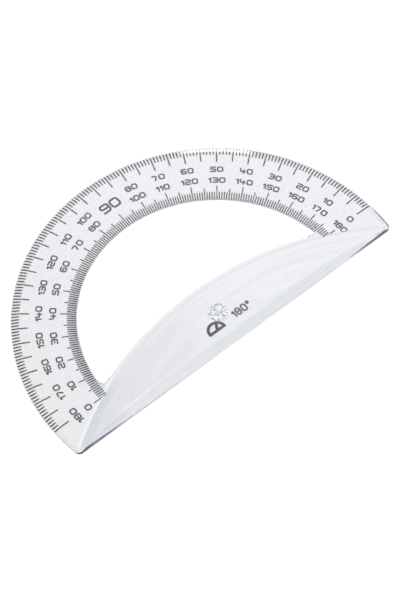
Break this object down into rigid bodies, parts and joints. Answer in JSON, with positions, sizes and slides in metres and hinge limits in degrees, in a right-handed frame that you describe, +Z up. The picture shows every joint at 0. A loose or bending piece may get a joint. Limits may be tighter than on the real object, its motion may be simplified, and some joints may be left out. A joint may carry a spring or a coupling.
{
  "type": "protractor",
  "caption": "Clear half-circle protractor with two opposed printed degree scales, bevelled band edges and a raised crescent finger grip along its straight base.",
  "frame": {"origin": "centre of both degree scales, the angle vertex, on the resting plane of the underside", "axes": "+X towards zero on the outer scale, along the straight base; +Y towards ninety; +Z up, away from the paper"},
  "size_m": [0.15, 0.0877, 0.0048],
  "materials": {
    "clear_plastic": "polished clear moulded polystyrene, faint cool tint at the edges",
    "black_ink": "thin matt black printed ink, read through the plastic"
  },
  "bodies": {
    "root": {"clear_moulding": "clear_plastic", "outer_one_degree_ticks": "black_ink", "outer_five_degree_ticks": "black_ink", "outer_ten_degree_ticks": "black_ink", "inner_one_degree_ticks": "black_ink", "inner_five_degree_ticks": "black_ink", "inner_ten_degree_ticks": "black_ink", "outer_numerals": "black_ink", "inner_numerals": "black_ink", "shared_ninety": "black_ink", "angle_badge": "black_ink"}
  },
  "joints": []
}
